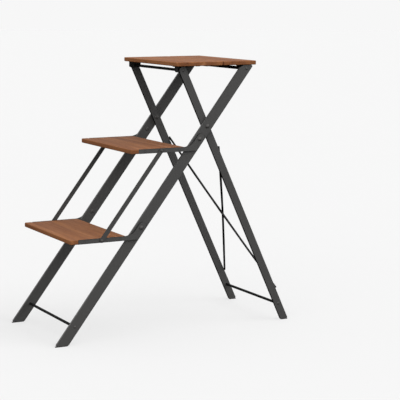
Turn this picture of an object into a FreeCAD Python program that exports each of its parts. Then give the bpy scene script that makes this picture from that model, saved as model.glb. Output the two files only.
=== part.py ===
"""Folding step ladder: flat-bar X frame, two link-coupled treads and a hinged two-board platform.

Frame of reference: +Z up, the user climbs from -Y looking along +Y, and X runs across the ladder.
The origin lies on the floor under the middle of the open ladder. All lengths are millimetres.
"""
import FreeCAD, Part
import math
import os

import Sketcher
from FreeCAD import Placement, Rotation, Vector

DOC = FreeCAD.newDocument("step_ladder")

DRIVING_DIMENSIONS = {
    # crossing legs, seen from the side
    "pivot_y": 93.2,
    "pivot_z": 573.0,
    "main_angle": 52.5,
    "rear_angle": 65.6,
    "main_width": 30.0,
    "rear_width": 22.0,
    "leg_thick": 7.0,
    "main_outer_x": 167.0,
    "leg_gap": 3.0,
    "sole_thick": 2.0,
    "foot_round": 3.0,
    "sole_round": 0.5,
    "leg_nose_round": 27.0,
    "leg_heel_round": 4.0,
    # distances along the legs from the crossing pivot
    "middle_bolt_at": 43.0,
    "lower_bolt_at": 336.7,
    "front_foot_rod_at": 658.5,
    "rear_top_rod_at": 198.0,
    "rear_top_rod_back": 3.0,
    "front_top_rod_at": 169.3,
    "rear_foot_rod_at": 575.7,
    # rods, bolts and screws
    "foot_rod_radius": 3.8,
    "front_top_rod_radius": 3.9,
    "rear_top_rod_radius": 4.4,
    "rod_screw_radius": 2.5,
    "rod_screw_depth": 14.0,
    "rod_bore_spare": 1.0,
    "rod_screw_head": 4.0,
    "low_head_height": 2.0,
    "brace_radius": 2.9,
    "brace_low_at": 531.0,
    "brace_high_at": 73.0,
    "brace_half_x": 153.5,
    "brace_bow": 3.1,
    "pivot_rivet_radius": 4.0,
    "pivot_washer_radius": 9.0,
    "tread_rivet_radius": 3.0,
    "tread_tail_height": 2.2,
    "head_radius": 6.0,
    "head_height": 3.8,
    "fit_clearance": 0.05,
    "running_clearance": 0.08,
    "side_clearance": 0.3,
    # platform
    "platform_top_z": 750.0,
    "platform_thick": 11.4,
    "platform_half_x": 169.8,
    "platform_front_y": -2.7,
    "seam_y": 141.4,
    "seam_gap": 2.0,
    "platform_rear_y": 245.7,
    "platform_corner": 3.0,
    "arris": 2.4,
    # rod lugs under the front board and rod hooks under the rear board
    "lug_inner_x": 145.0,
    "lug_thick": 4.0,
    "lug_front_reach": 19.3,
    "lug_rear_reach": 16.2,
    "lug_below_rod": 5.5,
    "lug_round": 5.0,
    "lug_screw_inset": 6.0,
    "hook_inner_x": 138.0,
    "hook_front_reach": 16.0,
    "hook_rear_reach": 16.5,
    "hook_below_rod": 9.0,
    "hook_lip": 1.5,
    "hook_clearance": 0.3,
    "hook_round": 4.0,
    "hook_tip_round": 1.5,
    "hook_lip_round": 1.0,
    "flange_width": 14.0,
    "flange_thick": 2.0,
    "board_screw_radius": 1.6,
    "board_screw_head": 3.2,
    "pan_head_height": 1.5,
    "pan_head_bevel": 0.7,
    "screw_point": 2.5,
    "board_screw_depth": 8.0,
    "screw_bore_spare": 0.5,
    # seam hinges
    "hinge_x": 55.0,
    "hinge_length": 44.0,
    "hinge_drop": 4.0,
    "knuckle_radius": 3.2,
    "knuckle_gap": 0.3,
    "hinge_pin_radius": 1.6,
    "leaf_depth": 22.0,
    "leaf_thick": 1.2,
    "leaf_relief": 3.6,
    "leaf_screw_inset": 7.0,
    "leaf_screw_spread": 13.0,
    # treads with their side brackets and link bars
    "tread_thick": 12.0,
    "tread_depth": 162.8,
    "tread_drop": 19.9,
    "tread_setback": 43.8,
    "tread_half_x": 171.3,
    "tread_corner": 5.0,
    "bar_setback": 21.5,
    "bar_top_round": 5.0,
    "bar_toe_round": 0.8,
    "bracket_thick": 4.0,
    "bracket_front": 10.3,
    "bracket_rear": 13.0,
    "bracket_crown": 17.5,
    "bracket_heel": 9.0,
    "bracket_throat": 42.0,
    "side_screw_depth": 16.0,
    "side_screw_inset": 19.0,
    "link_reach": 118.0,
    "link_drop": 26.0,
    "link_width": 12.0,
    "link_thick": 3.0,
    "link_pin_radius": 2.0,
    "link_pin_head": 4.2,
    "link_pin_head_height": 1.8,
    "open_link_clearance": 0.3,
}


def make_sheet():
    """Put the driving dimensions in a spreadsheet, one aliased cell each."""
    sheet = DOC.addObject("Spreadsheet::Sheet", "dims")
    for row, (name, number) in enumerate(DRIVING_DIMENSIONS.items(), start=1):
        sheet.set(f"A{row}", name)
        sheet.set(f"B{row}", str(number))
        sheet.setAlias(f"B{row}", name)
    DOC.recompute()
    return sheet


SHEET = make_sheet()


def dim(name):
    """Read one driving dimension back from the sheet."""
    return float(SHEET.get(name))


# ------------------------------------------------- derived places, as Y and Z in the side view

MAIN_TILT = math.radians(dim("main_angle"))
REAR_TILT = math.radians(dim("rear_angle"))
MAIN_UP = Vector(math.cos(MAIN_TILT), math.sin(MAIN_TILT), 0)
MAIN_FRONT = Vector(-MAIN_UP.y, MAIN_UP.x, 0)
REAR_UP = Vector(-math.cos(REAR_TILT), math.sin(REAR_TILT), 0)
REAR_BACK = Vector(REAR_UP.y, -REAR_UP.x, 0)
PIVOT = Vector(dim("pivot_y"), dim("pivot_z"), 0)

MIDDLE_BOLT = PIVOT - MAIN_UP * dim("middle_bolt_at")
LOWER_BOLT = PIVOT - MAIN_UP * dim("lower_bolt_at")
FRONT_FOOT_ROD = PIVOT - MAIN_UP * dim("front_foot_rod_at")
REAR_TOP_ROD = PIVOT + MAIN_UP * dim("rear_top_rod_at") - MAIN_FRONT * dim("rear_top_rod_back")
FRONT_TOP_ROD = PIVOT + REAR_UP * dim("front_top_rod_at")
REAR_FOOT_ROD = PIVOT - REAR_UP * dim("rear_foot_rod_at")

UNDERSIDE_Z = dim("platform_top_z") - dim("platform_thick")
SEAM_PIN = Vector(dim("seam_y"), UNDERSIDE_Z - dim("hinge_drop"), 0)

# Stations across the ladder on the right-hand side, first as sheet expressions, then as numbers.
MAIN_INNER = "(dims.main_outer_x - dims.leg_thick)"
REAR_OUTER = "(dims.main_outer_x - dims.leg_thick - dims.leg_gap)"
REAR_INNER = "(dims.main_outer_x - 2 * dims.leg_thick - dims.leg_gap)"
BRACKET_INNER = "(dims.main_outer_x + dims.side_clearance)"
LINK_INNER = "(dims.main_outer_x + 2 * dims.side_clearance + dims.bracket_thick)"

MAIN_INNER_X = dim("main_outer_x") - dim("leg_thick")
REAR_OUTER_X = MAIN_INNER_X - dim("leg_gap")
REAR_INNER_X = REAR_OUTER_X - dim("leg_thick")
BRACKET_INNER_X = dim("main_outer_x") + dim("side_clearance")
BRACKET_OUTER_X = BRACKET_INNER_X + dim("bracket_thick")
LINK_OUTER_X = BRACKET_OUTER_X + dim("side_clearance") + dim("link_thick")

SCREW_BORE = "dims.board_screw_radius + dims.fit_clearance"
CUT_OVERRUN = 1.0
SMALL_ROUND = dim("arris") + 0.5

SIDES = {"left": -1, "right": 1}
TREADS = {"lower": LOWER_BOLT, "middle": MIDDLE_BOLT}


# ------------------------------------------------- sketch and feature helpers

def new_body(label):
    """Make an empty body, which may hold a group of separate solids."""
    body = DOC.addObject("PartDesign::Body", label)
    body.Label = label
    body.AllowCompound = True
    return body


def origin_plane(body, role):
    """Find one of a body's own origin planes."""
    return next(item for item in body.Origin.OriginFeatures if item.Role == role)


def meeting_ends(edge, following):
    """Ends at which two edges meet, counted as the sketch does: 1 is an edge's start, 2 its stop."""
    pairs = [(mine, theirs) for mine in (1, 2) for theirs in (1, 2)]
    places = {1: "StartPoint", 2: "EndPoint"}
    return min(pairs, key=lambda pair: getattr(edge, places[pair[0]]).distanceToPoint(
        getattr(following, places[pair[1]])))


def add_sketch(body, role, name, offset, loops, holes=()):
    """Draw closed loops and round holes on an origin plane of the body, moved by offset.

    A hole is (u, v, radius expression), and its radius stays bound to the sheet.
    """
    sketch = body.newObject("Sketcher::SketchObject", name)
    sketch.AttachmentSupport = [(origin_plane(body, role), "")]
    sketch.MapMode = "FlatFace"
    sketch.AttachmentOffset = Placement(offset, Rotation())
    for edges in loops:
        numbers = list(sketch.addGeometry(edges, False))
        for number, following in zip(numbers, numbers[1:] + numbers[:1]):
            stop, start = meeting_ends(sketch.Geometry[number], sketch.Geometry[following])
            sketch.addConstraint(Sketcher.Constraint("Coincident", number, stop, following, start))
    for number, (across, up, radius) in enumerate(holes):
        circle = sketch.addGeometry(Part.Circle(Vector(across, up, 0), Vector(0, 0, 1), 1.0), False)
        sketch.addConstraint(Sketcher.Constraint("DistanceX", -1, 1, circle, 3, across))
        sketch.addConstraint(Sketcher.Constraint("DistanceY", -1, 1, circle, 3, up))
        bound = sketch.addConstraint(Sketcher.Constraint("Radius", circle, 1.0))
        sketch.renameConstraint(bound, f"hole_radius_{number}")
        sketch.setExpression(f"Constraints.hole_radius_{number}", radius)
    return sketch


def rounded_loop(corners):
    """Edges of a closed outline. A corner is (u, v, radius), and its round is a tangent arc.

    Every arc runs counter-clockwise, whichever way the outline turns at its corner.
    """
    points = [Vector(u, v, 0) for u, v, _ in corners]
    ends = []
    for index, (corner, (_, _, radius)) in enumerate(zip(points, corners)):
        before = (points[index - 1] - corner).normalize()
        after = (points[(index + 1) % len(points)] - corner).normalize()
        half = before.getAngle(after) / 2
        reach = radius / math.tan(half)
        middle = corner + (before + after).normalize() * (radius / math.sin(half) - radius)
        turns_left = after.cross(before).z > 0
        ends.append((corner + before * reach, middle, corner + after * reach, turns_left))
    edges = []
    for index, (start, middle, stop, turns_left) in enumerate(ends):
        if corners[index][2] > 0:
            edges.append(Part.Arc(start, middle, stop) if turns_left else Part.Arc(stop, middle, start))
        following = ends[(index + 1) % len(ends)][0]
        if stop.distanceToPoint(following) > 1e-6:
            edges.append(Part.LineSegment(stop, following))
    return edges


def rectangle(low_u, high_u, low_v, high_v, radius=0.0):
    """Edges of an upright rectangle with equally rounded corners."""
    return rounded_loop([
        (low_u, low_v, radius),
        (high_u, low_v, radius),
        (high_u, high_v, radius),
        (low_u, high_v, radius),
    ])


def pad_across(body, name, edges, side, inner, thickness, holes=()):
    """Pad a side-view outline along X, from the inner station outward on the given side."""
    base = inner if side > 0 else f"-({inner}) - ({thickness})"
    sketch = add_sketch(body, "YZ_Plane", name + "_sketch", Vector(), [edges], holes)
    sketch.setExpression("AttachmentOffset.Base.z", base)
    pad = body.newObject("PartDesign::Pad", name)
    pad.Profile = sketch
    pad.setExpression("Length", thickness)
    body.Tip = pad
    return pad


def side_plate(label, edges, side, inner, thickness, holes=()):
    """Make a sub-part that is one flat plate standing in the side view's plane."""
    body = new_body(label)
    pad_across(body, label + "_pad", edges, side, inner, thickness, holes)
    return body


def turn_across(body, name, profile, place):
    """Revolve a profile of (x, radius) points about an axis along X through the place."""
    sketch = add_sketch(body, "XY_Plane", name + "_sketch", Vector(0, place.x, place.y), [profile])
    turned = body.newObject("PartDesign::Revolution", name)
    turned.Profile = sketch
    turned.ReferenceAxis = (sketch, ["H_Axis"])
    turned.Angle = 360
    body.Tip = turned
    return turned


def turn_upright(body, name, profile, across, place_y, place_z):
    """Revolve a profile of (radius, height) points about an upright axis."""
    offset = Vector(across, place_z, -place_y)
    sketch = add_sketch(body, "XZ_Plane", name + "_sketch", offset, [profile])
    turned = body.newObject("PartDesign::Revolution", name)
    turned.Profile = sketch
    turned.ReferenceAxis = (sketch, ["V_Axis"])
    turned.Angle = 360
    body.Tip = turned
    return turned


def mirror_left(body, features):
    """Repeat right-hand features on the left-hand side."""
    DOC.recompute()
    mirrored = body.newObject("PartDesign::Mirrored", body.Label + "_mirrored")
    mirrored.Originals = features
    mirrored.MirrorPlane = (origin_plane(body, "YZ_Plane"), [""])
    body.Tip = mirrored
    return mirrored


def straight_profile(points):
    """Closed outline of straight lines through the points."""
    return rounded_loop([(u, v, 0) for u, v in points])


def dome_arc(face_x, radius, height):
    """Arc of a dome that stands out from face_x along +X, or along -X if its height is negative."""
    outward = math.copysign(1.0, height)
    sphere = (radius ** 2 + height ** 2) / (2 * abs(height))
    half = math.asin(radius / sphere) / 2
    tip = Vector(face_x + height, 0, 0)
    middle = tip + Vector(outward * sphere * (math.cos(half) - 1), sphere * math.sin(half), 0)
    rim = Vector(face_x, radius, 0)
    return Part.Arc(tip, middle, rim) if height > 0 else Part.Arc(rim, middle, tip)


def domed_pin(head_x, head_height, head_radius, shank_radius, shank_end_x, tail_height=0.0):
    """Profile of a pin along X: a domed head on head_x, a shank, and a domed tail if it has one."""
    edges = [dome_arc(head_x, head_radius, head_height)]
    points = [Vector(head_x, head_radius, 0), Vector(head_x, shank_radius, 0),
              Vector(shank_end_x, shank_radius, 0)]
    if tail_height:
        points.append(Vector(shank_end_x, head_radius, 0))
        tail = [dome_arc(shank_end_x, head_radius, -tail_height)]
        end = Vector(shank_end_x - tail_height, 0, 0)
    else:
        end = Vector(shank_end_x, 0, 0)
        tail = [Part.LineSegment(points[-1], end)]
    edges += [Part.LineSegment(start, stop) for start, stop in zip(points, points[1:])]
    return edges + tail + [Part.LineSegment(end, Vector(head_x + head_height, 0, 0))]


def at_height(base, direction, height):
    """Point of a slanting line at the given height."""
    return base + direction * ((height - base.y) / direction.y)


# ------------------------------------------------- legs, soles and rods

def leg_edges(direction, width, top_corners):
    """Outline of a leg from its sole up, ending in the given top corners."""
    normal = Vector(-direction.y, direction.x, 0)
    left = at_height(PIVOT + normal * width / 2, direction, dim("sole_thick"))
    right = at_height(PIVOT - normal * width / 2, direction, dim("sole_thick"))
    foot = [(left.x, left.y, dim("foot_round")), (right.x, right.y, dim("foot_round"))]
    return rounded_loop(foot + top_corners)


def main_leg_top():
    """Top of a main leg: cut level just under the platform, with a large round at the front."""
    top_z = UNDERSIDE_Z - dim("side_clearance")
    half = dim("main_width") / 2
    back = at_height(PIVOT - MAIN_FRONT * half, MAIN_UP, top_z)
    front = at_height(PIVOT + MAIN_FRONT * half, MAIN_UP, top_z)
    return [(back.x, back.y, dim("leg_heel_round")), (front.x, front.y, dim("leg_nose_round"))]


def rear_leg_top():
    """Top of a rear leg: a half circle about the front top rod."""
    half = dim("rear_width") / 2
    crown = FRONT_TOP_ROD + REAR_UP * half
    corners = (crown + REAR_BACK * half, crown - REAR_BACK * half)
    return [(corner.x, corner.y, half) for corner in corners]


def sole_edges(direction, width):
    """Outline of the thin pad between a leg's level foot and the floor."""
    normal = Vector(-direction.y, direction.x, 0)
    corners = []
    for offset, height in ((1, 0), (-1, 0), (-1, dim("sole_thick")), (1, dim("sole_thick"))):
        corner = at_height(PIVOT + normal * offset * width / 2, direction, height)
        inset = offset * dim("foot_round") / 2
        corners.append((corner.x + inset, corner.y, dim("sole_round")))
    return rounded_loop(corners)


def make_legs():
    """The four flat-bar legs with their bolt and rod holes, and the sole under each."""
    rod_screw = "dims.rod_screw_radius"
    main_holes = [
        (PIVOT.x, PIVOT.y, "dims.pivot_rivet_radius + dims.fit_clearance"),
        (MIDDLE_BOLT.x, MIDDLE_BOLT.y, "dims.tread_rivet_radius + dims.fit_clearance"),
        (LOWER_BOLT.x, LOWER_BOLT.y, "dims.tread_rivet_radius + dims.fit_clearance"),
        (FRONT_FOOT_ROD.x, FRONT_FOOT_ROD.y, rod_screw + " + dims.fit_clearance"),
        (REAR_TOP_ROD.x, REAR_TOP_ROD.y, rod_screw + " + dims.fit_clearance"),
    ]
    rear_holes = [
        (PIVOT.x, PIVOT.y, "dims.pivot_rivet_radius + dims.running_clearance"),
        (FRONT_TOP_ROD.x, FRONT_TOP_ROD.y, rod_screw + " + dims.fit_clearance"),
        (REAR_FOOT_ROD.x, REAR_FOOT_ROD.y, rod_screw + " + dims.fit_clearance"),
    ]
    main_outline = leg_edges(MAIN_UP, dim("main_width"), main_leg_top())
    rear_outline = leg_edges(REAR_UP, dim("rear_width"), rear_leg_top())
    main_sole = sole_edges(MAIN_UP, dim("main_width"))
    rear_sole = sole_edges(REAR_UP, dim("rear_width"))
    for name, side in SIDES.items():
        side_plate(f"main_leg_{name}", main_outline, side, MAIN_INNER, "dims.leg_thick", main_holes)
        side_plate(f"main_sole_{name}", main_sole, side, MAIN_INNER, "dims.leg_thick")
        side_plate(f"rear_leg_{name}", rear_outline, side, REAR_INNER, "dims.leg_thick", rear_holes)
        side_plate(f"rear_sole_{name}", rear_sole, side, REAR_INNER, "dims.leg_thick")


def make_cross_rod(label, place, radius, half_length):
    """Round rod across the ladder with a tapped blind hole in each end."""
    bore = dim("rod_screw_radius") + dim("fit_clearance")
    floor = half_length - dim("rod_screw_depth") - dim("rod_bore_spare")
    profile = straight_profile([
        (-half_length, bore), (-half_length, radius), (half_length, radius), (half_length, bore),
        (floor, bore), (floor, 0), (-floor, 0), (-floor, bore),
    ])
    turn_across(new_body(label), label + "_turned", profile, place)


def make_rod_screws(label, places, face_x):
    """Low domed screws that hold rods between a pair of legs, whose outer faces are at face_x."""
    body = new_body(label)
    tip = face_x - dim("leg_thick") - dim("rod_screw_depth")
    features = []
    for number, place in enumerate(places):
        profile = domed_pin(face_x, dim("low_head_height"), dim("rod_screw_head"),
                            dim("rod_screw_radius"), tip)
        features.append(turn_across(body, f"{label}_{number}", profile, place))
    mirror_left(body, features)


def make_braces():
    """Two crossing brace rods behind the rear legs, each bowed so that they pass at the middle."""
    low = PIVOT - REAR_UP * dim("brace_low_at")
    high = PIVOT - REAR_UP * dim("brace_high_at")
    standoff = REAR_BACK * (dim("rear_width") / 2 + dim("brace_radius"))
    half_x = dim("brace_half_x")
    for number, side in enumerate(SIDES.values(), start=1):
        start = Vector(-side * half_x, low.x + standoff.x, low.y + standoff.y)
        stop = Vector(side * half_x, high.x + standoff.x, high.y + standoff.y)
        chord = stop - start
        bow = dim("brace_bow")
        radius = (chord.Length ** 2 / 4 + bow ** 2) / (2 * bow)
        angle = 2 * math.degrees(math.asin(chord.Length / 2 / radius))
        along = Vector(chord).normalize()
        outward = Vector(0, REAR_BACK.x, REAR_BACK.y) * side
        centre = (start + stop) / 2 + outward * (bow - radius)
        rod = DOC.addObject("Part::Torus", f"brace_rod_{number}")
        rod.Label = f"brace_rod_{number}"
        rod.Radius1 = radius
        rod.setExpression("Radius2", "dims.brace_radius")
        rod.Angle3 = angle
        local_x = (outward * math.cos(math.radians(angle / 2))
                   - along * math.sin(math.radians(angle / 2)))
        local_y = (outward * math.sin(math.radians(angle / 2))
                   + along * math.cos(math.radians(angle / 2)))
        rod.Placement = Placement(centre, Rotation(local_x, local_y, Vector(), "XYZ"))


def make_rivets():
    """Rivets and washers of the crossing pivot, and the rivets that the treads turn on."""
    pivot_rivets = new_body("pivot_rivets")
    tail_face = REAR_INNER_X - dim("side_clearance")
    profile = domed_pin(dim("main_outer_x"), dim("head_height"), dim("head_radius"),
                        dim("pivot_rivet_radius"), tail_face, dim("head_height"))
    mirror_left(pivot_rivets, [turn_across(pivot_rivets, "pivot_rivet", profile, PIVOT)])

    bore = (PIVOT.x, PIVOT.y, "dims.pivot_rivet_radius + dims.fit_clearance")
    washers = new_body("pivot_washers")
    rim = dim("pivot_washer_radius")
    disc = rectangle(PIVOT.x - rim, PIVOT.x + rim, PIVOT.y - rim, PIVOT.y + rim, rim)
    washer = pad_across(washers, "pivot_washer", disc, 1,
                        f"({REAR_OUTER} + dims.side_clearance)",
                        "(dims.leg_gap - dims.side_clearance)", [bore])
    mirror_left(washers, [washer])

    tread_rivets = new_body("tread_rivets")
    head_x = BRACKET_OUTER_X + dim("side_clearance")
    features = []
    for name, place in TREADS.items():
        profile = domed_pin(head_x, dim("head_height"), dim("head_radius"),
                            dim("tread_rivet_radius"), MAIN_INNER_X, dim("tread_tail_height"))
        features.append(turn_across(tread_rivets, f"tread_rivet_{name}", profile, place))
    mirror_left(tread_rivets, features)


# ------------------------------------------------- platform

def edge_names(feature, height):
    """Names of a feature's edges that lie wholly at one height."""
    names = []
    for number, edge in enumerate(feature.Shape.Edges, start=1):
        if all(abs(vertex.Z - height) < 1e-6 for vertex in edge.Vertexes):
            names.append(f"Edge{number}")
    return names


def make_board(label, plan, bottom_z, thickness):
    """Wooden board padded up from its plan, with a softened arris all round top and bottom."""
    body = new_body(label)
    sketch = add_sketch(body, "XY_Plane", label + "_plan", Vector(0, 0, bottom_z), [plan])
    pad = body.newObject("PartDesign::Pad", label + "_pad")
    pad.Profile = sketch
    pad.setExpression("Length", thickness)
    body.Tip = pad
    DOC.recompute()
    top_z = bottom_z + pad.Length.Value
    arris = body.newObject("PartDesign::Fillet", label + "_arris")
    arris.Base = (pad, edge_names(pad, bottom_z) + edge_names(pad, top_z))
    arris.setExpression("Radius", "dims.arris")
    body.Tip = arris
    DOC.recompute()
    return body


def drill(body, name, role, offset, holes, depth, upward=False, mirrored=True):
    """Cut round blind holes from a sketch plane into the body, then repeat them on the left."""
    sketch = add_sketch(body, role, name + "_sketch", offset, [], holes)
    pocket = body.newObject("PartDesign::Pocket", name)
    pocket.Profile = sketch
    pocket.Length = depth
    pocket.Reversed = upward
    body.Tip = pocket
    if mirrored:
        mirror_left(body, [pocket])


def lug_screw_places():
    """Plan positions, on the right, of the upright screws in the lugs and in the hooks."""
    lug_x = dim("lug_inner_x") - dim("flange_width") / 2
    hook_x = dim("hook_inner_x") - dim("flange_width") / 2
    inset = dim("lug_screw_inset")
    lugs = [(lug_x, FRONT_TOP_ROD.x - dim("lug_front_reach") + inset),
            (lug_x, FRONT_TOP_ROD.x + dim("lug_rear_reach") - inset)]
    hooks = [(hook_x, REAR_TOP_ROD.x - dim("hook_front_reach") + inset),
             (hook_x, REAR_TOP_ROD.x + dim("hook_rear_reach") - inset)]
    return lugs, hooks


def leaf_screw_places(side):
    """Plan positions, on the right, of the screws of the hinge leaves on one side of the seam."""
    place_y = SEAM_PIN.x + side * (dim("leaf_depth") - dim("leaf_screw_inset"))
    return [(dim("hinge_x") + end * dim("leaf_screw_spread"), place_y) for end in (-1, 1)]


def make_platform_boards():
    """The wide front board and the narrower rear board, drilled for their screws."""
    half_x = dim("platform_half_x")
    half_gap = dim("seam_gap") / 2
    spans = {
        "front": (dim("platform_front_y"), dim("seam_y") - half_gap),
        "rear": (dim("seam_y") + half_gap, dim("platform_rear_y")),
    }
    corner = dim("platform_corner")
    small = SMALL_ROUND
    rounds = {"front": (corner, corner, small, small), "rear": (small, small, corner, corner)}
    lugs, hooks = lug_screw_places()
    for name, (low_y, high_y) in spans.items():
        near_left, near_right, far_right, far_left = rounds[name]
        plan = rounded_loop([
            (-half_x, low_y, near_left),
            (half_x, low_y, near_right),
            (half_x, high_y, far_right),
            (-half_x, high_y, far_left),
        ])
        board = make_board(f"platform_board_{name}", plan, UNDERSIDE_Z, "dims.platform_thick")
        places = lugs if name == "front" else hooks
        places = places + leaf_screw_places(-1 if name == "front" else 1)
        holes = [(u, v, SCREW_BORE) for u, v in places]
        drill(board, f"platform_holes_{name}", "XY_Plane", Vector(0, 0, UNDERSIDE_Z), holes,
              dim("board_screw_depth") + dim("screw_bore_spare"), upward=True)


def lug_edges():
    """Side outline of the ear that hangs on the front top rod."""
    front = FRONT_TOP_ROD.x - dim("lug_front_reach")
    rear = FRONT_TOP_ROD.x + dim("lug_rear_reach")
    low = FRONT_TOP_ROD.y - dim("lug_below_rod")
    return rounded_loop([
        (front, low, dim("lug_round")),
        (rear, low, dim("lug_round")),
        (rear, UNDERSIDE_Z, 0),
        (front, UNDERSIDE_Z, 0),
    ])


def hook_edges():
    """Side outline of the hook that comes down over the rear top rod, open to the front."""
    slot = dim("rear_top_rod_radius") + dim("hook_clearance")
    lip = dim("hook_lip")
    low = -dim("hook_below_rod")
    high = UNDERSIDE_Z - REAR_TOP_ROD.y
    lip_round = dim("hook_lip_round")
    corners = [
        (-dim("hook_front_reach"), slot, dim("hook_tip_round")),
        (-dim("hook_front_reach"), high, 0),
        (dim("hook_rear_reach"), high, 0),
        (dim("hook_rear_reach"), low, dim("hook_round")),
        (lip, low, lip_round),
        (lip, -slot, lip_round),
        (slot, -slot, slot - lip - 1.1 * lip_round),
        (slot, slot, 0.96 * slot),
    ]
    return rounded_loop([(REAR_TOP_ROD.x + u, REAR_TOP_ROD.y + v, radius) for u, v, radius in corners])


def make_angle(label, edges, side, inner, span, places, holes=()):
    """Angle bracket: a side plate with a drilled flange under the board, pointing inward."""
    body = new_body(label)
    pad_across(body, label + "_plate", edges, side, inner, "dims.lug_thick", holes)
    low_y, high_y = span
    flange = rectangle(low_y, high_y, UNDERSIDE_Z - dim("flange_thick"), UNDERSIDE_Z)
    pad_across(body, label + "_flange", flange, side, f"({inner} - dims.flange_width)",
               "dims.flange_width")
    bores = [(side * u, v, SCREW_BORE) for u, v in places]
    drill(body, label + "_bores", "XY_Plane", Vector(0, 0, UNDERSIDE_Z), bores,
          dim("flange_thick") + CUT_OVERRUN, mirrored=False)


def pan_screw_profile(flange):
    """Profile of an upright wood screw whose pan head sits under a flange of that thickness."""
    head = dim("board_screw_head")
    shank = dim("board_screw_radius")
    depth = dim("board_screw_depth")
    bottom = -flange - dim("pan_head_height")
    bevel = dim("pan_head_bevel")
    return straight_profile([
        (0, bottom), (head - bevel, bottom), (head, bottom + bevel), (head, -flange),
        (shank, -flange), (shank, depth - dim("screw_point")), (0, depth),
    ])


def make_screw_group(label, places, flange):
    """Upright screws into a platform board, mirrored to the left."""
    body = new_body(label)
    features = []
    for number, (across, place_y) in enumerate(places):
        profile = pan_screw_profile(flange)
        features.append(turn_upright(body, f"{label}_{number}", profile, across, place_y, UNDERSIDE_Z))
    mirror_left(body, features)


def make_lugs_and_hooks():
    """Ears under the front board, hooks under the rear board, and their screws."""
    lugs, hooks = lug_screw_places()
    rod_hole = [(FRONT_TOP_ROD.x, FRONT_TOP_ROD.y,
                 "dims.front_top_rod_radius + dims.running_clearance")]
    lug_span = (FRONT_TOP_ROD.x - dim("lug_front_reach"), FRONT_TOP_ROD.x + dim("lug_rear_reach"))
    hook_span = (REAR_TOP_ROD.x - dim("hook_front_reach"), REAR_TOP_ROD.x + dim("hook_rear_reach"))
    for name, side in SIDES.items():
        make_angle(f"rod_lug_{name}", lug_edges(), side, "dims.lug_inner_x", lug_span, lugs, rod_hole)
        make_angle(f"rod_hook_{name}", hook_edges(), side, "dims.hook_inner_x", hook_span, hooks)
    make_screw_group("rod_lug_screws", lugs, dim("flange_thick"))
    make_screw_group("rod_hook_screws", hooks, dim("flange_thick"))


def make_hinge_leaves(name, side, knuckles, pin_clearance):
    """Leaves of one side of the two seam hinges. A knuckle is (start, length) along the hinge."""
    body = new_body(f"hinge_leaves_{name}")
    start_x = dim("hinge_x") - dim("hinge_length") / 2
    low_z = UNDERSIDE_Z - dim("leaf_thick")

    def span(near, far):
        ends = sorted((SEAM_PIN.x + side * near, SEAM_PIN.x + side * far))
        return rectangle(ends[0], ends[1], low_z, UNDERSIDE_Z)

    features = [pad_across(body, f"leaf_{name}", span(dim("leaf_relief"), dim("leaf_depth")), 1,
                           f"{start_x}", "dims.hinge_length")]
    ring = dim("knuckle_radius")
    disc = rectangle(SEAM_PIN.x - ring, SEAM_PIN.x + ring, SEAM_PIN.y - ring, SEAM_PIN.y + ring, ring)
    bore = [(SEAM_PIN.x, SEAM_PIN.y, f"dims.hinge_pin_radius + {pin_clearance}")]
    for number, (offset, length) in enumerate(knuckles):
        base = f"{start_x + offset}"
        strap = span(0, dim("leaf_relief") + CUT_OVERRUN)
        features.append(pad_across(body, f"strap_{name}_{number}", strap, 1, base, f"{length}"))
        features.append(pad_across(body, f"knuckle_{name}_{number}", disc, 1, base, f"{length}", bore))
    mirror_left(body, features)
    DOC.recompute()
    holes = [(side_x * u, v, SCREW_BORE)
             for u, v in leaf_screw_places(side) for side_x in SIDES.values()]
    drill(body, f"leaf_bores_{name}", "XY_Plane", Vector(0, 0, UNDERSIDE_Z), holes,
          dim("leaf_thick") + CUT_OVERRUN, mirrored=False)


def make_seam_hinges():
    """Two butt hinges under the platform's seam, with their pins and screws."""
    length = dim("hinge_length")
    gap = dim("knuckle_gap")
    third = length / 3
    end = third - gap / 2
    make_hinge_leaves("front", -1, [(0, end), (length - end, end)], "dims.fit_clearance")
    make_hinge_leaves("rear", 1, [(third + gap / 2, third - gap)], "dims.running_clearance")
    pins = new_body("hinge_pins")
    start_x = dim("hinge_x") - length / 2
    radius = dim("hinge_pin_radius")
    profile = straight_profile([(start_x, 0), (start_x, radius), (start_x + length, radius),
                                (start_x + length, 0)])
    mirror_left(pins, [turn_across(pins, "hinge_pin", profile, SEAM_PIN)])
    make_screw_group("hinge_screws_front", leaf_screw_places(-1), dim("leaf_thick"))
    make_screw_group("hinge_screws_rear", leaf_screw_places(1), dim("leaf_thick"))


# ------------------------------------------------- treads, side brackets and link bars

def tread_span(bolt):
    """Front and rear edge, underside and top of the tread that turns on the bolt."""
    rear = bolt.x - dim("tread_setback")
    top = bolt.y - dim("tread_drop")
    return rear - dim("tread_depth"), rear, top - dim("tread_thick"), top


def bracket_edges(bolt):
    """Side outline of a bracket: a bar along the tread's edge that turns up along the leg."""
    front, _, low, top = tread_span(bolt)
    to_front = MAIN_FRONT * dim("bracket_front")
    to_rear = MAIN_FRONT * -dim("bracket_rear")
    throat = at_height(bolt + to_front, MAIN_UP, top)
    heel = at_height(bolt + to_rear, MAIN_UP, low)
    crown = bolt + MAIN_UP * dim("bracket_crown")
    crown_rear = crown + to_rear
    crown_front = crown + to_front
    crown_round = (dim("bracket_front") + dim("bracket_rear")) / 2
    nose = front + dim("bar_setback")
    return rounded_loop([
        (nose, low, dim("bar_toe_round")),
        (heel.x, heel.y, dim("bracket_heel")),
        (crown_rear.x, crown_rear.y, crown_round),
        (crown_front.x, crown_front.y, crown_round),
        (throat.x, throat.y, dim("bracket_throat")),
        (nose, top, dim("bar_top_round")),
    ])


def link_pin_place(bolt):
    """Centre of the link pin of the tread that turns on the bolt."""
    return bolt + Vector(-dim("link_reach"), -dim("link_drop"), 0)


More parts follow.
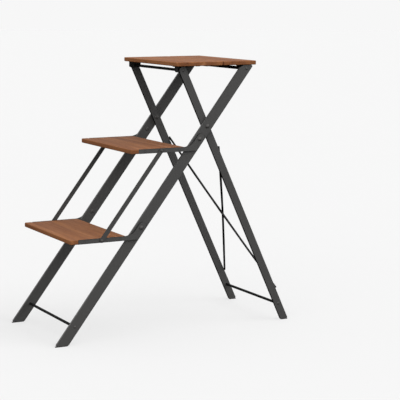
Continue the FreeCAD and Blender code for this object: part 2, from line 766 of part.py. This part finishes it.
def bracket_screw_places(bolt):
    """Side-view positions of the screws that hold a bracket to its tread."""
    front, rear, low, top = tread_span(bolt)
    middle = (low + top) / 2
    inset = dim("side_screw_inset")
    return [Vector(front + dim("bar_setback") + inset, middle, 0), Vector(rear - inset, middle, 0)]


def make_tread(name, bolt):
    """Wooden tread, notched at both ends so that the bracket bars lie flush with its edges."""
    front, rear, low, top = tread_span(bolt)
    half_x = dim("tread_half_x")
    notch_y = front + dim("bar_setback")
    right = [
        (half_x, front, dim("tread_corner")),
        (half_x, notch_y, 0),
        (BRACKET_INNER_X, notch_y, 0),
        (BRACKET_INNER_X, rear, SMALL_ROUND),
    ]
    left = [(-u, v, radius) for u, v, radius in reversed(right)]
    board = make_board(f"{name}_tread_board", rounded_loop(right + left), low, "dims.tread_thick")
    pin = link_pin_place(bolt)
    pin_hole = [(pin.x, pin.y, "dims.link_pin_radius + dims.fit_clearance")]
    screw_holes = [(place.x, place.y, SCREW_BORE)
                   for place in bracket_screw_places(bolt)]
    drill(board, f"{name}_tread_holes", "YZ_Plane", Vector(0, 0, BRACKET_INNER_X),
          pin_hole + screw_holes, dim("side_screw_depth") + dim("screw_bore_spare"))


def make_bracket(name, side_name, side, bolt):
    """Flat steel bracket with its pivot hole, link pin hole and countersunk screw holes."""
    pin = link_pin_place(bolt)
    holes = [
        (bolt.x, bolt.y, "dims.tread_rivet_radius + dims.running_clearance"),
        (pin.x, pin.y, "dims.link_pin_radius + dims.fit_clearance"),
    ]
    label = f"{name}_bracket_{side_name}"
    body = side_plate(label, bracket_edges(bolt), side, BRACKET_INNER, "dims.bracket_thick", holes)
    shank = dim("board_screw_radius") + dim("fit_clearance")
    mouth = dim("board_screw_head") + dim("fit_clearance")
    sink = BRACKET_OUTER_X - (mouth - shank)
    start = BRACKET_INNER_X - CUT_OVERRUN
    stop = BRACKET_OUTER_X + CUT_OVERRUN
    countersink = [(start, 0), (start, shank), (sink, shank), (BRACKET_OUTER_X, mouth), (stop, mouth),
                   (stop, 0)]
    profile = straight_profile([(side * across, radius) for across, radius in countersink])
    for number, place in enumerate(bracket_screw_places(bolt)):
        sketch = add_sketch(body, "XY_Plane", f"{label}_sink_{number}_sketch",
                            Vector(0, place.x, place.y), [profile])
        groove = body.newObject("PartDesign::Groove", f"{label}_sink_{number}")
        groove.Profile = sketch
        groove.ReferenceAxis = (sketch, ["H_Axis"])
        groove.Angle = 360
        body.Tip = groove


def make_bracket_screws(name, bolt):
    """Countersunk screws, flush with the bracket, into the tread's edges."""
    body = new_body(f"{name}_bracket_screws")
    shank = dim("board_screw_radius")
    head = dim("board_screw_head")
    tip = BRACKET_INNER_X - dim("side_screw_depth")
    sink = BRACKET_OUTER_X - (head - shank)
    features = []
    for number, place in enumerate(bracket_screw_places(bolt)):
        profile = straight_profile([
            (tip, 0), (tip + dim("screw_point"), shank), (sink, shank), (BRACKET_OUTER_X, head),
            (BRACKET_OUTER_X, 0),
        ])
        features.append(turn_across(body, f"{name}_bracket_screw_{number}", profile, place))
    mirror_left(body, features)


def make_link_pins(name, bolt):
    """Shouldered pins through the link bar and the bracket into the tread's edge."""
    body = new_body(f"{name}_link_pins")
    head_x = LINK_OUTER_X + dim("side_clearance")
    profile = domed_pin(head_x, dim("link_pin_head_height"), dim("link_pin_head"),
                        dim("link_pin_radius"), BRACKET_INNER_X - dim("side_screw_depth"))
    mirror_left(body, [turn_across(body, f"{name}_link_pin", profile, link_pin_place(bolt))])


def make_links():
    """The two flat bars that tie the lower tread to the middle tread."""
    half = dim("link_width") / 2
    low = link_pin_place(LOWER_BOLT)
    high = link_pin_place(MIDDLE_BOLT)
    ends = [(low, -1, 1), (low, -1, -1), (high, 1, -1), (high, 1, 1)]
    corners = []
    for pin, along, across in ends:
        corner = pin + MAIN_UP * half * along + MAIN_FRONT * half * across
        corners.append((corner.x, corner.y, half))
    holes = [
        (low.x, low.y, "dims.link_pin_radius + dims.running_clearance"),
        (high.x, high.y, "dims.link_pin_radius + dims.open_link_clearance"),
    ]
    for name, side in SIDES.items():
        side_plate(f"link_bar_{name}", rounded_loop(corners), side, LINK_INNER, "dims.link_thick", holes)


def make_treads():
    """Both treads with brackets, screws and link pins, then the link bars."""
    for name, bolt in TREADS.items():
        make_tread(name, bolt)
        for side_name, side in SIDES.items():
            make_bracket(name, side_name, side, bolt)
        make_bracket_screws(name, bolt)
        make_link_pins(name, bolt)
    make_links()


# ------------------------------------------------- assembly, checks and export

def check_document():
    """Stop on any failed object, any empty or invalid shape, and any cut that removed nothing."""
    for item in DOC.Objects:
        if "Invalid" in item.State or "Error" in item.State:
            raise RuntimeError(f"{item.Name} failed: {item.State}")
    for item in DOC.Objects:
        if item.TypeId in ("PartDesign::Pocket", "PartDesign::Groove"):
            removed = item.BaseFeature.Shape.Volume - item.Shape.Volume
            if removed < 1.0:
                raise RuntimeError(f"{item.Name} removed {removed:.3f} mm3")


def sub_parts():
    """The objects that are sub-parts: every body and every brace rod."""
    kinds = ("PartDesign::Body", "Part::Torus")
    return [item for item in DOC.Objects if item.TypeId in kinds]


def export_sub_parts():
    """Check each sub-part's shape and write it to its own STEP file."""
    os.makedirs("parts", exist_ok=True)
    for item in sub_parts():
        if item.Shape.isNull() or not item.Shape.isValid() or not item.Shape.Solids:
            raise RuntimeError(f"{item.Label} has no valid shape")
    for item in sub_parts():
        item.Shape.exportStep(f"parts/{item.Label}.step")
        print(f"{item.Label}: {len(item.Shape.Solids)} solid(s), {item.Shape.Volume:.0f} mm3")


make_legs()
make_cross_rod("front_foot_rod", FRONT_FOOT_ROD, dim("foot_rod_radius"), MAIN_INNER_X)
make_cross_rod("rear_top_rod", REAR_TOP_ROD, dim("rear_top_rod_radius"), MAIN_INNER_X)
make_cross_rod("rear_foot_rod", REAR_FOOT_ROD, dim("foot_rod_radius"), REAR_INNER_X)
make_cross_rod("front_top_rod", FRONT_TOP_ROD, dim("front_top_rod_radius"), REAR_INNER_X)
make_rod_screws("main_rod_screws", [FRONT_FOOT_ROD, REAR_TOP_ROD], dim("main_outer_x"))
make_rod_screws("rear_rod_screws", [REAR_FOOT_ROD, FRONT_TOP_ROD], REAR_OUTER_X)
make_braces()
make_rivets()
make_platform_boards()
make_lugs_and_hooks()
make_seam_hinges()
make_treads()
DOC.recompute()
check_document()
export_sub_parts()
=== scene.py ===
import math

import bmesh
import bpy
from mathutils import Euler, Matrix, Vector

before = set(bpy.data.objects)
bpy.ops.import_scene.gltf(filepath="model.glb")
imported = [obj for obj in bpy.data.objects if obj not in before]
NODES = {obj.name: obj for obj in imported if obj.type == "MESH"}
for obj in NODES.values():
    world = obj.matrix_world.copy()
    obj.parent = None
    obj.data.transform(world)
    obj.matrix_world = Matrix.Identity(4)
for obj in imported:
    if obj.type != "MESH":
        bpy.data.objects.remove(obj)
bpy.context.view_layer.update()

BLACK = (0.0, 0.0, 0.0)
WHITE = (1.0, 1.0, 1.0)

# ------------------------------------------------------------------ node-graph helpers


class Graph:
    """Short hand for building one material's node tree."""

    def __init__(self, name):
        self.material = bpy.data.materials.new(name)
        self.material.use_nodes = True
        self.tree = self.material.node_tree
        self.tree.nodes.clear()
        self.output = self.tree.nodes.new("ShaderNodeOutputMaterial")
        self.shader = self.tree.nodes.new("ShaderNodeBsdfPrincipled")
        self.link(self.shader.outputs["BSDF"], self.output.inputs["Surface"])

    def link(self, source, target):
        """Join an output to an input."""
        self.tree.links.new(source, target)

    def add(self, kind, settings=None, **inputs):
        """Add a node. Settings are its properties; inputs are values or outputs, by socket name."""
        node = self.tree.nodes.new("ShaderNode" + kind)
        for key, value in (settings or {}).items():
            setattr(node, key, value)
        for key, value in inputs.items():
            self.feed(node.inputs[key.replace("_", " ")], value)
        return node

    def feed(self, socket, value):
        """Set an input to a value, or link it to another node's output."""
        if isinstance(value, bpy.types.NodeSocket):
            self.link(value, socket)
        elif isinstance(value, bpy.types.Node):
            self.link(value.outputs[0], socket)
        else:
            socket.default_value = value

    def coordinates(self, scale=(1, 1, 1), offset=(0, 0, 0)):
        """Object coordinates, scaled and moved."""
        source = self.add("TexCoord").outputs["Object"]
        return self.add("Mapping", Vector=source, Scale=scale, Location=offset)

    def noise(self, vector, scale, detail=4.0, roughness=0.55):
        """Fractal noise, as a 0 to 1 value."""
        node = self.add("TexNoise", Vector=vector, Scale=scale, Detail=detail, Roughness=roughness)
        return node.outputs["Fac"]

    def math(self, operation, *values):
        """One Math node."""
        node = self.tree.nodes.new("ShaderNodeMath")
        node.operation = operation
        for socket, value in zip(node.inputs, values):
            self.feed(socket, value)
        return node.outputs[0]

    def capped(self, value, gain, limit):
        """A value times gain, but never more than limit."""
        return self.math("MINIMUM", self.math("MULTIPLY", value, gain), limit)

    def ramp(self, factor, stops):
        """A colour ramp through (position, colour) stops."""
        node = self.tree.nodes.new("ShaderNodeValToRGB")
        elements = node.color_ramp.elements
        while len(elements) < len(stops):
            elements.new(0.5)
        for element, (position, colour) in zip(elements, stops):
            element.position = position
            element.color = (*colour, 1.0)
        self.feed(node.inputs[0], factor)
        return node.outputs[0]

    def spread(self, factor, low, high):
        """Map 0 to 1 on to low to high."""
        node = self.tree.nodes.new("ShaderNodeMapRange")
        self.feed(node.inputs["Value"], factor)
        node.inputs["To Min"].default_value = low
        node.inputs["To Max"].default_value = high
        return node.outputs[0]

    def mix(self, factor, first, second, blend="MIX"):
        """Mix two colours."""
        node = self.tree.nodes.new("ShaderNodeMix")
        node.data_type = "RGBA"
        node.blend_type = blend
        self.feed(node.inputs["Factor"], factor)
        self.feed(node.inputs["A"], first if not isinstance(first, tuple) else (*first, 1.0))
        self.feed(node.inputs["B"], second if not isinstance(second, tuple) else (*second, 1.0))
        return node.outputs["Result"]

    def bump(self, height, strength, distance, normal=None):
        """A bump from a height value, on top of an earlier normal."""
        node = self.add("Bump", Height=height, Strength=strength, Distance=distance)
        if normal is not None:
            self.link(normal, node.inputs["Normal"])
        return node.outputs["Normal"]

    def edge_wear_and_shade(self, radius):
        """About 1 along sharp edges and 0 on flats, from how far a rounded normal leans."""
        soft = self.add("Bevel", {"samples": 6}, Radius=radius).outputs["Normal"]
        hard = self.add("NewGeometry").outputs["Normal"]
        node = self.tree.nodes.new("ShaderNodeVectorMath")
        node.operation = "DOT_PRODUCT"
        self.link(soft, node.inputs[0])
        self.link(hard, node.inputs[1])
        return self.math("SUBTRACT", 1.0, node.outputs["Value"])

    def glow(self, strength):
        """Make the shader give off plain white light."""
        self.shader.inputs["Emission Color"].default_value = (*WHITE, 1.0)
        self.shader.inputs["Emission Strength"].default_value = strength

    def finish(self, colour, roughness, normal, metallic=0.0, specular=0.5):
        """Feed the shader and return the material."""
        self.feed(self.shader.inputs["Base Color"], colour)
        self.feed(self.shader.inputs["Roughness"], roughness)
        self.shader.inputs["Metallic"].default_value = metallic
        self.feed(self.shader.inputs["Specular IOR Level"], specular)
        if normal is not None:
            self.link(normal, self.shader.inputs["Normal"])
        return self.material


# ------------------------------------------------------------------ materials

COAT_DEEP = (0.028, 0.0275, 0.027)
COAT_PALE = (0.042, 0.0415, 0.0405)
COAT_SPECK = (0.070, 0.068, 0.065)
COAT_EDGE_SHADE = (0.008, 0.008, 0.008)
COAT_SCUFF = (0.16, 0.155, 0.145)
COAT_SHINE = 0.28
COAT_SHINE_LIMIT = 0.40

HEAD_DEEP = (0.034, 0.0325, 0.0315)
HEAD_PALE = (0.058, 0.0555, 0.053)
HEAD_RIM_SHADE = (0.010, 0.010, 0.010)

SCREW_DEEP = (0.09, 0.088, 0.084)
SCREW_PALE = (0.17, 0.165, 0.155)

RUBBER_DEEP = (0.010, 0.010, 0.010)
RUBBER_DUSTY = (0.028, 0.027, 0.026)

WALNUT_STREAKS = [
    (0.30, (0.090, 0.028, 0.009)),
    (0.45, (0.150, 0.053, 0.017)),
    (0.58, (0.196, 0.076, 0.026)),
    (0.75, (0.285, 0.124, 0.054)),
]
WALNUT_RING = (0.105, 0.036, 0.015)
WALNUT_FIBRE = (0.225, 0.090, 0.036)
WALNUT_PORE = (0.045, 0.017, 0.008)
WALNUT_RUBBED_HIGHLIGHT = (0.330, 0.140, 0.055)
RING_RATE = 420.0


def powder_coat(name, seed, tone=1.0, narrow_painted_light=0.6, edge_shade_radius=0.0010, edge_shade_depth=0.40):
    """Satin charcoal powder coat on steel: orange peel, faint rubs, and painted shade darkening it along
    edges.

    The base colour is scaled by tone. On faces that don't face along X it is also scaled by a second
    factor, which scales their specular level too: painted shade on those faces where it is below 1,
    painted highlight where it is above 1.
    """
    graph = Graph(name)
    place = graph.coordinates(offset=(seed * 0.37, seed * 0.61, seed * 0.23))
    clouds = graph.noise(place, 7.0, detail=5.0)
    speckle = graph.noise(place, 900.0, detail=2.0)
    stretched = graph.coordinates(scale=(1, 1, 6), offset=(seed, 0, 0))
    rubs = graph.noise(stretched, 60.0, detail=6.0, roughness=0.7)
    colour = graph.mix(graph.spread(clouds, 0.1, 0.9), COAT_DEEP, COAT_PALE)
    colour = graph.mix(graph.spread(speckle, 0.0, 0.22), colour, COAT_SPECK)
    colour = graph.mix(1.0, colour, (tone,) * 3, blend="MULTIPLY")
    # painted shade and painted highlight: faces that don't face along X get their colour and specular
    # level scaled by the second factor
    facing = graph.add("SeparateXYZ", Vector=graph.add("TexCoord").outputs["Normal"]).outputs["X"]
    flat = graph.math("POWER", graph.math("ABSOLUTE", facing), 4.0)
    narrow_painted = graph.mix(1.0, colour, (narrow_painted_light,) * 3, blend="MULTIPLY")
    colour = graph.mix(flat, narrow_painted, colour)
    # painted shade: a dark band along every edge, as a painted outline and contact shadow; the same edge
    # mask also places the real scuffs below
    edge = graph.edge_wear_and_shade(edge_shade_radius)
    colour = graph.mix(graph.capped(edge, 18.0, edge_shade_depth), colour, COAT_EDGE_SHADE)
    scuffs = graph.ramp(rubs, [(0.62, BLACK), (0.74, WHITE)])
    worn = graph.math("MULTIPLY", graph.capped(edge, 4.0, 1.0), scuffs)
    colour = graph.mix(graph.math("MULTIPLY", worn, 0.6), colour, COAT_SCUFF)
    rough = graph.math("ADD", graph.spread(rubs, 0.46, 0.60), graph.spread(speckle, -0.03, 0.05))
    peel = graph.noise(place, 420.0, detail=3.0, roughness=0.5)
    normal = graph.bump(peel, strength=0.22, distance=0.00035)
    normal = graph.bump(speckle, strength=0.10, distance=0.0002, normal=normal)
    shine = graph.spread(flat, min(COAT_SHINE * narrow_painted_light, COAT_SHINE_LIMIT), COAT_SHINE)
    return graph.finish(colour, rough, normal, specular=shine)


def head_coat(name):
    """Domed rivet and screw heads: the frame's charcoal in random paler and darker patches, with painted
    shade as a dark ring round the edge of each head.
    """
    graph = Graph(name)
    place = graph.coordinates()
    cloud = graph.noise(place, 160.0, detail=5.0)
    fine = graph.noise(place, 1500.0, detail=2.0)
    colour = graph.mix(cloud, HEAD_DEEP, HEAD_PALE)
    # painted shade: a dark ring round each head's edge, a painted contact shadow
    colour = graph.mix(graph.capped(graph.edge_wear_and_shade(0.0012), 12.0, 0.7), colour, HEAD_RIM_SHADE)
    rough = graph.math("ADD", graph.spread(cloud, 0.52, 0.64), graph.spread(fine, -0.03, 0.03))
    normal = graph.bump(fine, strength=0.12, distance=0.0002)
    return graph.finish(colour, rough, normal, specular=0.30)


def dark_steel(name):
    """Plain dark steel of the hinge leaves, hinge pins and small wood screws."""
    graph = Graph(name)
    place = graph.coordinates(scale=(8, 1, 1))
    brushed = graph.noise(place, 300.0, detail=4.0)
    cloud = graph.noise(graph.coordinates(), 90.0)
    colour = graph.mix(cloud, SCREW_DEEP, SCREW_PALE)
    rough = graph.spread(brushed, 0.28, 0.46)
    normal = graph.bump(brushed, strength=0.15, distance=0.00015)
    return graph.finish(colour, rough, normal, metallic=0.85)


def rubber(name):
    """Matt black rubber of the soles."""
    graph = Graph(name)
    place = graph.coordinates()
    grain = graph.noise(place, 1100.0, detail=3.0)
    dust = graph.noise(place, 60.0, detail=5.0)
    colour = graph.mix(graph.spread(dust, 0.0, 0.6), RUBBER_DEEP, RUBBER_DUSTY)
    normal = graph.bump(grain, strength=0.35, distance=0.0003)
    return graph.finish(colour, graph.spread(grain, 0.72, 0.92), normal, specular=0.3)


def walnut(name, seed):
    """Oiled walnut cut along X: curved growth rings, long pores, darker streaks and a satin skin."""
    graph = Graph(name)
    shift = (seed * 1.7, seed * 0.31, seed * 0.143)

    def grain(along, scale, **settings):
        """Noise drawn out along X: the smaller along is, the longer the grain."""
        return graph.noise(graph.coordinates(scale=(along, 1, 1), offset=shift), scale, **settings)

    warp = grain(0.35, 5.0, detail=3.0, roughness=0.45)
    drift = grain(0.12, 13.0, detail=2.0)
    streak = grain(0.035, 42.0, detail=6.0, roughness=0.62)
    fibre = grain(0.02, 420.0, detail=5.0, roughness=0.6)
    pores = grain(0.05, 900.0, detail=2.0, roughness=0.4)
    pores = graph.ramp(pores, [(0.60, BLACK), (0.70, WHITE)])

    # growth rings: flattened circles round a line along X, far below the board
    parts = graph.add("SeparateXYZ", Vector=graph.coordinates())
    across = graph.math("ADD", parts.outputs["Y"], seed * 0.021 + 0.03)
    up = graph.math("ADD", parts.outputs["Z"], seed * 0.05 - 0.9)
    squares = [graph.math("POWER", graph.math("MULTIPLY", side, squash), 2.0)
               for side, squash in ((across, 0.55), (up, 0.25))]
    radius = graph.math("SQRT", graph.math("ADD", *squares))
    radius = graph.math("ADD", radius, graph.math("MULTIPLY", warp, 0.055))
    radius = graph.math("ADD", radius, graph.math("MULTIPLY", drift, 0.045))
    rings = graph.math("SINE", graph.math("MULTIPLY", radius, RING_RATE))
    rings = graph.math("POWER", graph.math("MULTIPLY_ADD", rings, 0.5, 0.5), 1.6)

    colour = graph.ramp(streak, WALNUT_STREAKS)
    colour = graph.mix(graph.math("MULTIPLY", rings, 0.42), colour, WALNUT_RING)
    colour = graph.mix(graph.spread(fibre, -0.25, 0.45), colour, WALNUT_FIBRE)
    colour = graph.mix(graph.math("MULTIPLY", pores, 0.50), colour, WALNUT_PORE)
    # lighter band along the board edges: rubbed wood and a painted highlight on the rounded arrises
    colour = graph.mix(graph.capped(graph.edge_wear_and_shade(0.004), 1.8, 0.45), colour, WALNUT_RUBBED_HIGHLIGHT)
    rough = graph.math("ADD", graph.spread(fibre, 0.66, 0.78), graph.math("MULTIPLY", pores, 0.12))
    height = graph.math("SUBTRACT", graph.math("MULTIPLY", fibre, 0.5), graph.math("MULTIPLY", pores, 0.8))
    normal = graph.bump(height, strength=0.25, distance=0.00035)
    normal = graph.bump(warp, strength=0.06, distance=0.002, normal=normal)
    return graph.finish(colour, rough, normal, specular=0.15)


# ------------------------------------------------------------------ CAD nodes

SAME_POINT = 0.00001
SAME_PLANE = math.radians(0.6)
SHARP_EDGE = math.radians(38)


def dress(node, material, bevel=0.0, segments=2):
    """Give a CAD node its material, merge its flat facets and soften its edges."""
    obj = NODES[node]
    obj.data.materials.clear()
    obj.data.materials.append(material)
    weld = obj.modifiers.new("weld", "WELD")
    weld.merge_threshold = SAME_POINT
    flat = obj.modifiers.new("flat", "DECIMATE")
    flat.decimate_type = "DISSOLVE"
    flat.angle_limit = SAME_PLANE
    if bevel:
        soft = obj.modifiers.new("soft", "BEVEL")
        soft.width = bevel
        soft.segments = segments
        soft.limit_method = "ANGLE"
        soft.angle_limit = SHARP_EDGE
        soft.harden_normals = True
    for polygon in obj.data.polygons:
        polygon.use_smooth = True
    obj.modifiers.new("shade", "WEIGHTED_NORMAL").keep_sharp = True


# Painted light in these coats, on faces that don't face along X: a painted highlight on the main legs, and
# painted shade on the rear legs, rods, brackets and link bars. The brackets also carry a wider, deeper
# painted-shade band along their edges.
STEEL = {
    "main": powder_coat("powder_coat_main", 1.0, tone=1.15, narrow_painted_light=1.5),
    "rear": powder_coat("powder_coat_rear", 2.3, tone=1.10, narrow_painted_light=0.05),
    # painted shade: the rods and rod lugs take the frame's coat darkened to about a third, for the shade
    # they sit in
    "rod": powder_coat("powder_coat_rod_painted_shade", 4.4, tone=0.35, narrow_painted_light=0.30),
    "bracket": powder_coat("powder_coat_bracket", 3.7, tone=1.15, narrow_painted_light=0.25,
                           edge_shade_radius=0.0020, edge_shade_depth=0.85),
    "link": powder_coat("powder_coat_link", 5.1, narrow_painted_light=0.6),
}
HEADS = head_coat("black_hardware")
SCREW_STEEL = dark_steel("dark_steel")
RUBBER = rubber("sole_rubber")
WOOD_SEEDS = {
    "platform_board_front": 1,
    "platform_board_rear": 2,
    "lower_tread_board": 4,
    "middle_tread_board": 7,
}
COATED_HEADS = ("bracket_screws", "rivets", "washers", "link_pins", "rod_screws")


def dress_cad():
    """Materials and edge softening for every CAD node, by what the node is."""
    for node in NODES:
        if node in WOOD_SEEDS:
            dress(node, walnut("walnut_" + node, WOOD_SEEDS[node]))
        elif "sole" in node:
            dress(node, RUBBER, bevel=0.0003)
        elif node.startswith("main_leg"):
            dress(node, STEEL["main"], bevel=0.0007, segments=3)
        elif node.startswith("rear_leg"):
            dress(node, STEEL["rear"], bevel=0.0007, segments=3)
        elif node.endswith("_rod") or node.startswith("brace_rod"):
            dress(node, STEEL["rod"])
        elif node.endswith(COATED_HEADS):
            dress(node, HEADS, bevel=0.0002)
        elif "bracket" in node:
            dress(node, STEEL["bracket"], bevel=0.0005, segments=3)
        elif node.startswith("link_bar"):
            dress(node, STEEL["link"], bevel=0.0005, segments=3)
        elif node.startswith(("rod_lug", "rod_hook")) and "screws" not in node:
            dress(node, STEEL["rod"], bevel=0.0004)
        else:
            dress(node, SCREW_STEEL)


dress_cad()

# ------------------------------------------------------------------ stage, lights and camera

FLOOR_HALF = 300.0
FLOOR_DEEP = (0.196, 0.196, 0.196)
FLOOR_PALE = (0.200, 0.200, 0.200)
FLOOR_GLOW = 0.566
WALL_RADIUS = 30.0
WALL_HEIGHT = 15.0
WALL_SIDES = 96
WALL_GLOW = 0.93
BRIGHT_SIDE = (0.62, 0.25, 0.74)
# each range: where it starts, where it ends, and the brightness at both
SKY_BY_SIDE = (-0.35, 1.0, 0.70, 1.95)
SKY_BY_HEIGHT = (-0.14, 0.10, 0.03, 1.0)
# where each sun shines from, its energy, and how many degrees of sky it fills
SUNS = {
    "key": ((0.45, 0.62, 0.80), 1.1, 35),
    "fill": ((0.45, -0.80, 0.32), 1.15, 50),
}
CAMERA_PLACE = (3.64522, -1.76334, 0.94701)
CAMERA_TURN = (81.638, -0.085, 62.2115)
CAMERA_LENS = 129.31
SENSOR_WIDTH = 36.0


def add_backdrop(name, mesh):
    """An object made from a bmesh, that throws no light on the ladder and doesn't mirror in it."""
    data = bpy.data.meshes.new(name)
    mesh.to_mesh(data)
    mesh.free()
    backdrop = bpy.data.objects.new(name, data)
    bpy.context.scene.collection.objects.link(backdrop)
    backdrop.visible_diffuse = False
    backdrop.visible_glossy = False
    return backdrop


def make_floor():
    """A plain pale floor that catches soft shadows and glows a little."""
    mesh = bmesh.new()
    corners = [(-1, -1), (1, -1), (1, 1), (-1, 1)]
    mesh.faces.new([mesh.verts.new((x * FLOOR_HALF, y * FLOOR_HALF, 0.0)) for x, y in corners])
    floor = add_backdrop("floor", mesh)
    graph = Graph("floor_paper")
    grain = graph.noise(graph.coordinates(), 3.0, detail=2.0)
    colour = graph.mix(grain, FLOOR_DEEP, FLOOR_PALE)
    graph.glow(FLOOR_GLOW)
    floor.data.materials.append(graph.finish(colour, 0.95, None, specular=0.0))


def make_wall():
    """A plain pale wall far off all round the floor, that only shows as background."""
    mesh = bmesh.new()
    turns = [2 * math.pi * side / WALL_SIDES for side in range(WALL_SIDES)]
    spots = [(WALL_RADIUS * math.cos(turn), WALL_RADIUS * math.sin(turn)) for turn in turns]
    low = [mesh.verts.new((x, y, 0.0)) for x, y in spots]
    high = [mesh.verts.new((x, y, WALL_HEIGHT)) for x, y in spots]
    for side in range(WALL_SIDES):
        after = (side + 1) % WALL_SIDES
        mesh.faces.new((low[side], low[after], high[after], high[side]))
    wall = add_backdrop("wall", mesh)
    wall.visible_shadow = False
    graph = Graph("wall_paper")
    graph.glow(WALL_GLOW)
    wall.data.materials.append(graph.finish((*BLACK, 1.0), 1.0, None, specular=0.0))


def make_world():
    """Soft studio surroundings: brightest up on the right, and dark below the horizon."""
    world = bpy.data.worlds.new("studio")
    world.use_nodes = True
    tree = world.node_tree
    direction = tree.nodes.new("ShaderNodeTexCoord").outputs["Generated"]
    facing = tree.nodes.new("ShaderNodeVectorMath")
    facing.operation = "DOT_PRODUCT"
    tree.links.new(direction, facing.inputs[0])
    facing.inputs[1].default_value = Vector(BRIGHT_SIDE).normalized()
    upright = tree.nodes.new("ShaderNodeSeparateXYZ")
    tree.links.new(direction, upright.inputs[0])
    side = tree.nodes.new("ShaderNodeMapRange")
    below = tree.nodes.new("ShaderNodeMapRange")
    for node, spans in ((side, SKY_BY_SIDE), (below, SKY_BY_HEIGHT)):
        for name, value in zip(("From Min", "From Max", "To Min", "To Max"), spans):
            node.inputs[name].default_value = value
    tree.links.new(facing.outputs["Value"], side.inputs["Value"])
    tree.links.new(upright.outputs["Z"], below.inputs["Value"])
    level = tree.nodes.new("ShaderNodeMath")
    level.operation = "MULTIPLY"
    tree.links.new(side.outputs["Result"], level.inputs[0])
    tree.links.new(below.outputs["Result"], level.inputs[1])
    tree.links.new(level.outputs["Value"], tree.nodes["Background"].inputs["Strength"])
    tree.nodes["Background"].inputs["Color"].default_value = (*WHITE, 1.0)
    bpy.context.scene.world = world


def add_sun(name, shines_from, energy, spread):
    """A large soft light, the same over the whole floor."""
    data = bpy.data.lights.new(name, "SUN")
    data.energy = energy
    data.angle = math.radians(spread)
    sun = bpy.data.objects.new(name, data)
    sun.rotation_euler = (-Vector(shines_from)).to_track_quat("-Z", "Y").to_euler()
    bpy.context.scene.collection.objects.link(sun)


def make_camera():
    """Camera to the right of the ladder and in front of it, a little above the platform."""
    data = bpy.data.cameras.new("camera")
    data.lens = CAMERA_LENS
    data.sensor_width = SENSOR_WIDTH
    data.clip_end = 3 * FLOOR_HALF
    camera = bpy.data.objects.new("camera", data)
    camera.location = CAMERA_PLACE
    camera.rotation_euler = Euler([math.radians(turn) for turn in CAMERA_TURN])
    bpy.context.scene.collection.objects.link(camera)
    bpy.context.scene.camera = camera


make_floor()
make_wall()
make_world()
for sun_name, (shines_from, energy, spread) in SUNS.items():
    add_sun(sun_name, shines_from, energy, spread)
make_camera()
bpy.context.scene.view_settings.view_transform = "Standard"
